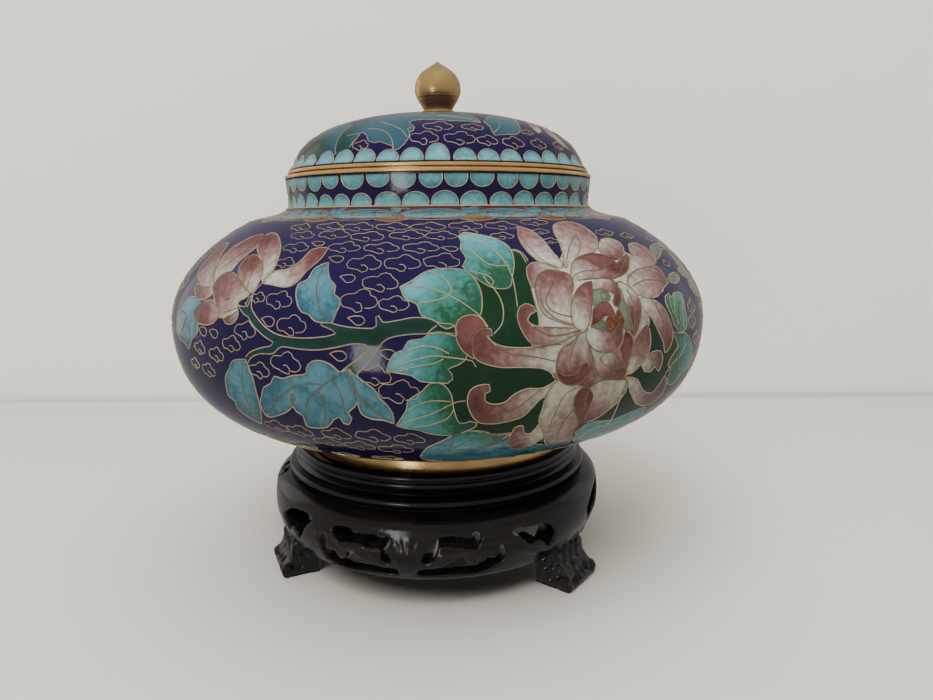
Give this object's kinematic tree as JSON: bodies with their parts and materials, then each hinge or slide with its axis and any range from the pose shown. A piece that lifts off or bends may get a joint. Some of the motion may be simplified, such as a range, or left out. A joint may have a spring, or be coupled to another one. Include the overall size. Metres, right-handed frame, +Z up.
{
  "type": "cloisonne ginger jar",
  "caption": "Squat lidded jar of enamelled copper with brass rims and an onion finial, standing in a carved and pierced dark wooden stand.",
  "frame": {"origin": "on the jar's axis, on the surface that the stand's feet rest on", "axes": "+Z up the jar's axis, -Y towards the side that the picture shows"},
  "size_m": [0.165, 0.165, 0.1584],
  "materials": {
    "cobalt_enamel": "glossy vitreous enamel over copper, cobalt ground with gilt wires",
    "gilt_brass": "turned and polished, with fine turning marks",
    "black_lacquered_wood": "glossy black-brown lacquer over carved wood"
  },
  "bodies": {
    "root": {"jar_body": "cobalt_enamel", "lid_dome": "cobalt_enamel", "mouth_rim": "gilt_brass", "foot_ring": "gilt_brass", "lid_rim": "gilt_brass", "finial": "gilt_brass", "stand_top": "black_lacquered_wood", "stand_base": "black_lacquered_wood"}
  },
  "joints": []
}
